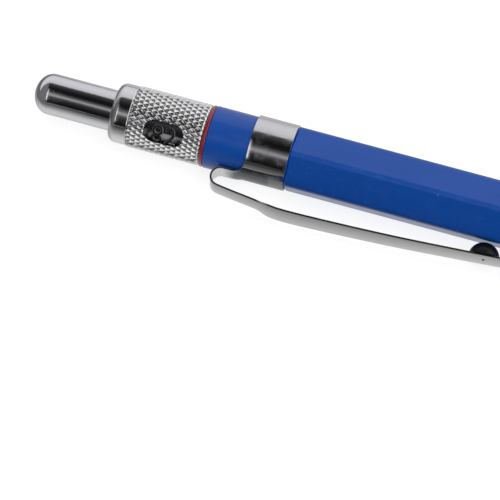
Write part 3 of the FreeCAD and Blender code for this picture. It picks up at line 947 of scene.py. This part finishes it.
def bend_stations(band_rear, foot, straight_steps=4, bend_steps=24):
    """The straight tongue and the half turn that brings the strip back over it."""
    stations = []
    for step in range(1, straight_steps):
        x = band_rear - ROOT_LENGTH + (foot - band_rear + ROOT_LENGTH) * step / straight_steps
        stations.append((x, TONGUE_HEIGHT, TONGUE_HALF, 0.0))
    for step in range(bend_steps):
        turn = math.radians(180 * step / bend_steps)
        height = TONGUE_HEIGHT + BEND_RADIUS * (1 - math.cos(turn))
        stations.append((foot - BEND_RADIUS * math.sin(turn), height, TONGUE_HALF, 0.0))
    return stations


def arm_stations(bend_end):
    """The arm from the bend's end: its flare, its taper and the rounded corners of its tip."""
    arm = through([bend_end, *ARM_LINE], steps=8)[1:]
    tip, tip_height = arm[-1]
    slope = (tip_height - arm[-2][1]) / (tip - arm[-2][0])
    stations = []
    for x, height in arm:
        if x < tip - TIP_CORNER:
            flare = smooth_step((x - FLARE_START) / FLARE_LENGTH)
            half = TONGUE_HALF + (SHOULDER_HALF - TONGUE_HALF) * flare
            half -= (SHOULDER_HALF - TIP_HALF) * max(0.0, (x - TAPER_START) / (tip - TAPER_START))
            stations.append((x, height, half, 0.0))
    for turn in quarter_turn(8):
        x = tip - TIP_CORNER + TIP_CORNER * math.sin(turn)
        half = TIP_HALF - TIP_CORNER + TIP_CORNER * math.cos(turn)
        stations.append((x, tip_height + slope * (x - tip), half, 0.0))
    return stations


def clip_middle():
    """Vertices and faces of the middle of the clip's sheet: the band, and the strip that leaves it."""
    front = ends("clip_band")[1]
    band_rear = front - BAND_LENGTH
    middle = radius_of("barrel") + BAND_GAP + CLIP_SHEET / 2
    root = math.asin((TONGUE_HALF + root_fillet(0)) / middle)
    seam = SEAM_HALF / middle
    spread = [2 * k / STRIP_COLUMNS - 1 for k in range(STRIP_COLUMNS + 1)]
    tongue_turns = [root * part for part in spread]
    steps = 40
    far = [root + (math.pi - seam - root) * k / steps for k in range(1, steps + 1)]
    turns = [-turn for turn in reversed(far)] + tongue_turns + far
    band_steps = 8
    vertices, rows = [], []
    for step in range(band_steps + 1):
        x = front + (band_rear - front) * step / band_steps
        band = [(x, middle * math.sin(turn), middle * math.cos(turn)) for turn in turns]
        rows.append(add_row(vertices, band))
    strips = [rows[-1][len(far) : len(far) + len(spread)]]
    for x, height, half, roundness in clip_stations(band_rear, middle):
        strip = []
        for part in spread:
            y = half * part
            sag = (middle - math.sqrt(middle ** 2 - y ** 2)) * roundness
            strip.append((x, y, height - sag))
        strips.append(add_row(vertices, strip))
    return vertices, quads(rows, ring=False) + quads(strips, ring=False)


def make_clip():
    """Band, tongue, bend and sprung arm as one bent sheet."""
    vertices, faces = clip_middle()
    clip = piece(
        "clip_sheet",
        vertices,
        faces,
        "clip_band",
        turn=CLIP_ANGLE,
        sharp=60.0,
        rides=False,
        finish="sheet_chrome",
    )
    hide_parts("clip_arm")
    sheet = clip.modifiers.new("sheet", "SOLIDIFY")
    sheet.thickness = CLIP_SHEET * MM
    sheet.offset = 0.0
    edges = clip.modifiers.new("edges", "BEVEL")
    edges.width = 0.045 * MM
    edges.segments = 3
    edges.limit_method = "ANGLE"
    edges.angle_limit = math.radians(50)
    keep_flats_even(clip)
    apply_modifiers(clip)
    return clip


def make_ball():
    """The dark ball near the end of the arm, with the small rivet that holds it."""
    radius, foot, run = 2.25, 4.89, -42.3
    rivet, rivet_top, rivet_edge, rivet_proud = 0.2, 0.18, 0.03, 0.02
    arm_slope = 0.076
    over_half = math.radians(0.4)
    steps = 24
    profile = [(-radius, 0)]
    for step in range(1, steps + 1):
        turn = math.radians(-90) + (over_half + math.radians(90)) * step / steps
        profile.append((radius * math.sin(turn), radius * math.cos(turn)))
    under = radius * math.sin(over_half)
    top = under + CLIP_SHEET + rivet_proud
    profile += [(under, rivet), (top, rivet), (top + rivet_edge, rivet_top), (top + 2 * rivet_edge, 0)]
    vertices, faces = spun(profile, columns=48)
    tilt = Matrix.Rotation(math.atan(arm_slope), 4, "Y")
    stand = Matrix.Rotation(math.radians(-90), 4, "Y")
    place = Matrix.Translation((run, 0, foot + radius)) @ tilt @ stand
    placed = [tuple(place @ Vector(vertex)) for vertex in vertices]
    piece("clip_ball_and_rivet", placed, faces, "clip_ball", turn=CLIP_ANGLE, sharp=35.0)


# --- Return spring ---------------------------------------------------------------------------


def make_spring():
    """The return spring, with closed coils at both ends."""
    back, front = ends("spring_collar")[1] + 0.02, ends("clutch_seat")[0] - 0.02
    coil, wire = 2.45, 0.2
    turns, closed = 12.0, 1.0
    around, steps_a_turn = 12, 28
    steps = int(turns * steps_a_turn)
    length = front - back - 2 * wire
    vertices, rows = [], []
    for step in range(steps + 1):
        turned_by = turns * step / steps
        ends_taken = min(turned_by, closed) + max(0.0, turned_by - (turns - closed))
        open_part = (turned_by - ends_taken) / (turns - 2 * closed)
        x = back + wire + ends_taken * 2 * wire + (length - 4 * wire * closed) * open_part
        turn = 2 * math.pi * turned_by
        out = Vector((0, math.cos(turn), math.sin(turn)))
        ring = []
        for side in full_turn(around):
            point = Vector((x, 0, 0)) + out * (coil + wire * math.cos(side))
            ring.append(tuple(point + Vector((wire * math.sin(side), 0, 0))))
        rows.append(add_row(vertices, ring))
    faces = quads(rows) + [tuple(rows[0]), tuple(reversed(rows[-1]))]
    spring = piece("return_coil", vertices, faces, "return_spring", sharp=60.0)
    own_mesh(spring)


# --- Put the pieces on their bodies ----------------------------------------------------------

make_point()
make_nose()
make_grip()
make_barrel()
make_red_ring()
make_drum()
make_collar()
make_button()
make_spring()
clip = make_clip()
make_ball()

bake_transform(clip)
for node, thing in frame["nodes"].items():
    coat(thing, SLOT_OF[node])


# --- Floor, light and camera -----------------------------------------------------------------

# Each table below holds (place, brightness or share) pairs that a colour ramp joins by straight lines.
# FLOOR_GLOW goes by millimetres in y, FLOOR_REAR and FLOOR_AHEAD by millimetres in x, and ROOM_GLOW and
# the ..._BY_TURN tables by degrees round the axis. The ..._BY_X tables go by how far a direction points
# along the axis, from -1 at the rear to 1 at the point.

FLOOR_GLOW = (
    (-90.0, 0.03),
    (-45.0, 0.05),
    (-22.0, 0.14),
    (-12.0, 0.32),
    (-7.5, 0.57),
    (-4.8, 0.65),
    (-2.4, 0.56),
    (0.0, 0.50),
    (90.0, 0.48),
)
FLOOR_REAR = ((-400.0, 1.0), (-122.0, 1.0), (-111.5, 0.0), (0.0, 0.0))
FLOOR_AHEAD = ((0.0, 0.0), (40.0, 0.0), (60.0, 1.0), (400.0, 1.0))
ROOM_TURN = 3.5
ROOM_GLOW = (
    (-180, 0.55),
    (-90, 0.60),
    (-76, 0.66),
    (-57, 0.72),
    (-40, 0.68),
    (-22, 0.56),
    (-18, 0.08),
    (-5, 0.030),
    (10, 0.008),
    (24, 0.010),
    (35, 0.10),
    (46, 0.36),
    (56, 0.06),
    (68, 0.022),
    (82, 0.008),
    (180, 0.008),
)
BEHIND_BY_X = ((-1.0, 1.0), (-0.50, 1.0), (-0.42, 0.0), (1.0, 0.0))
BEHIND_BY_TURN = ((-180.0, 0.0), (-25.0, 0.0), (-12.0, 1.0), (180.0, 1.0))
SIDE_BY_X = ((-1.0, 0.0), (-0.43, 0.0), (-0.39, 1.0), (-0.30, 1.0), (-0.25, 0.0), (1.0, 0.0))
SIDE_BY_TURN = ((-180.0, 0.0), (10.0, 0.0), (40.0, 1.0), (75.0, 1.0), (88.0, 0.0), (180.0, 0.0))
AHEAD_BY_X = ((-1.0, 0.0), (0.30, 0.0), (0.45, 1.0), (1.0, 1.0))
ROOM_TINT = (0.965, 0.955, 1.0)
FLOOR_SIZE = 6.0
FLOOR_BRIGHTNESS = 0.84
BACKDROP_RADIUS = 2.9
BACKDROP_BRIGHTNESS = 0.97


def blended(tree, mode, factor, colour, brightness):
    """A colour blended with a plain grey by a factor."""
    node = tree.nodes.new("ShaderNodeMix")
    node.data_type = "RGBA"
    node.blend_type = mode
    tree.links.new(factor, node.inputs[0])
    tree.links.new(colour, node.inputs[6])
    node.inputs[7].default_value = (brightness, brightness, brightness, 1.0)
    return node.outputs[2]


def graded(tree, value, stops, tint=(1.0, 1.0, 1.0)):
    """A colour ramp through (value, brightness) stops."""
    first, last = stops[0][0], stops[-1][0]
    spread = tree.nodes.new("ShaderNodeMapRange")
    spread.inputs["From Min"].default_value = first
    spread.inputs["From Max"].default_value = last
    tree.links.new(value, spread.inputs["Value"])
    ramp = tree.nodes.new("ShaderNodeValToRGB")
    while len(ramp.color_ramp.elements) < len(stops):
        ramp.color_ramp.elements.new(1.0)
    for element, (place, brightness) in zip(ramp.color_ramp.elements, stops):
        element.position = (place - first) / (last - first)
        element.color = (*(brightness * part for part in tint), 1.0)
    tree.links.new(spread.outputs["Result"], ramp.inputs["Fac"])
    return ramp.outputs["Color"]


def maths(tree, operation, *values):
    """One arithmetic step in a node tree."""
    node = tree.nodes.new("ShaderNodeMath")
    node.operation = operation
    for target, value in zip(node.inputs, values):
        feed(tree, target, value)
    return node.outputs[0]


def glow(name, strength=1.0):
    """A white light-giving material for the stage, with its node tree and its emission node."""
    material = bpy.data.materials.new(name)
    material.use_nodes = True
    tree = material.node_tree
    tree.nodes.clear()
    emission = tree.nodes.new("ShaderNodeEmission")
    emission.inputs["Color"].default_value = (1.0, 1.0, 1.0, 1.0)
    emission.inputs["Strength"].default_value = strength
    output = tree.nodes.new("ShaderNodeOutputMaterial")
    tree.links.new(emission.outputs[0], output.inputs[0])
    return material, tree, emission


def seen_only_by(thing, *kinds):
    """Show a stage object to the named kinds of ray and hide it from the others."""
    for ray in ("camera", "glossy", "diffuse", "transmission", "shadow", "volume_scatter"):
        setattr(thing, f"visible_{ray}", ray in kinds)


def add_plane(name, height):
    """A wide level plane under the holder."""
    bpy.ops.mesh.primitive_plane_add(size=FLOOR_SIZE, location=(0, 0, height))
    plane = bpy.context.object
    plane.name = name
    return plane


def metal_glow():
    """What metal mirrors of the floor: graded across the holder, and again past each of its ends."""
    material, tree, emission = glow("floor_in_metal")
    place = tree.nodes.new("ShaderNodeTexCoord").outputs["Object"]
    parts = tree.nodes.new("ShaderNodeSeparateXYZ")
    tree.links.new(place, parts.inputs[0])
    away = maths(tree, "DIVIDE", parts.outputs["Y"], MM)
    along = maths(tree, "DIVIDE", parts.outputs["X"], MM)
    glowing = graded(tree, away, FLOOR_GLOW)
    glowing = blended(tree, "MIX", graded(tree, along, FLOOR_REAR), glowing, brightness=0.14)
    glowing = blended(tree, "MIX", graded(tree, along, FLOOR_AHEAD), glowing, brightness=0.5)
    tree.links.new(glowing, emission.inputs["Color"])
    return material


def make_stage():
    """A wide pale floor, the glow that metal picks up from it, and a pale dome for the camera."""
    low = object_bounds()[0].z
    floor = add_plane("floor", low)
    paper = Surface("paper", (0.26, 0.26, 0.26), 0.9, Specular_IOR_Level=0.0)
    paper.set("Emission Color", (1.0, 1.0, 1.0, 1.0))
    paper.set("Emission Strength", FLOOR_BRIGHTNESS)
    floor.data.materials.append(paper.material)
    floor.visible_glossy = False

    shine = add_plane("floor_in_metal", low)
    shine.data.materials.append(metal_glow())
    seen_only_by(shine, "glossy")

    bpy.ops.mesh.primitive_uv_sphere_add(
        radius=BACKDROP_RADIUS, location=(0, 0, low), segments=64, ring_count=32
    )
    dome = bpy.context.object
    dome.name = "backdrop"
    dome.data.materials.append(glow("backdrop", BACKDROP_BRIGHTNESS)[0])
    seen_only_by(dome, "camera")


def make_room():
    """Soft light from behind and above, and a dark room on the camera's side."""
    world = bpy.data.worlds.new("room")
    bpy.context.scene.world = world
    world.use_nodes = True
    tree = world.node_tree
    direction = tree.nodes.new("ShaderNodeTexCoord").outputs["Generated"]
    parts = tree.nodes.new("ShaderNodeSeparateXYZ")
    tree.links.new(direction, parts.inputs[0])
    x, y, z = parts.outputs
    turn = maths(tree, "DEGREES", maths(tree, "ARCTAN2", maths(tree, "MULTIPLY", y, -1.0), z))
    turn = maths(tree, "ADD", turn, ROOM_TURN)
    colour = graded(tree, turn, ROOM_GLOW, tint=ROOM_TINT)
    behind = maths(tree, "MULTIPLY", graded(tree, x, BEHIND_BY_X), graded(tree, turn, BEHIND_BY_TURN))
    colour = blended(tree, "MIX", behind, colour, brightness=0.16)
    window = maths(tree, "MULTIPLY", graded(tree, x, SIDE_BY_X), graded(tree, turn, SIDE_BY_TURN))
    colour = blended(tree, "LIGHTEN", window, colour, brightness=0.80)
    colour = blended(tree, "LIGHTEN", graded(tree, x, AHEAD_BY_X), colour, brightness=0.90)
    tree.links.new(colour, tree.nodes["Background"].inputs["Color"])


def overhead_light(height, size, strength):
    """A wide soft light above, a little to the camera's side, which metal doesn't mirror."""
    light = bpy.data.lights.new("overhead", "AREA")
    light.shape = "SQUARE"
    light.size = size
    light.energy = strength * math.pi * size ** 2
    holder = bpy.data.objects.new("overhead", light)
    bpy.context.scene.collection.objects.link(holder)
    holder.location = (0, -0.2, height)
    holder.visible_camera = False
    holder.visible_glossy = False


CAMERA_DIRECTION = Vector((0.113, -0.591, 0.799)).normalized()
CAMERA_DISTANCE = 600.0
CAMERA_LENS = 303.3
CAMERA_ROLL = 6.48
AIM_ALONG = -78.7
AIM_BELOW = 14.65


def make_camera():
    """A long lens over the rear end, with a slight roll."""
    camera = bpy.data.objects.new("camera", bpy.data.cameras.new("camera"))
    bpy.context.scene.collection.objects.link(camera)
    bpy.context.scene.camera = camera
    camera.data.lens = CAMERA_LENS
    camera.data.clip_start = 0.01
    roll = Matrix.Rotation(math.radians(CAMERA_ROLL), 4, "Z")
    turn = CAMERA_DIRECTION.to_track_quat("Z", "Y").to_matrix().to_4x4() @ roll
    up = turn.to_3x3() @ Vector((0, 1, 0))
    target = Vector((AIM_ALONG, 0, 0)) - up * AIM_BELOW
    camera.matrix_world = Matrix.Translation((target + CAMERA_DIRECTION * CAMERA_DISTANCE) * MM) @ turn


make_stage()
make_room()
overhead_light(height=1.2, size=1.6, strength=1.8)
bpy.context.scene.view_settings.view_transform = "Standard"
make_camera()
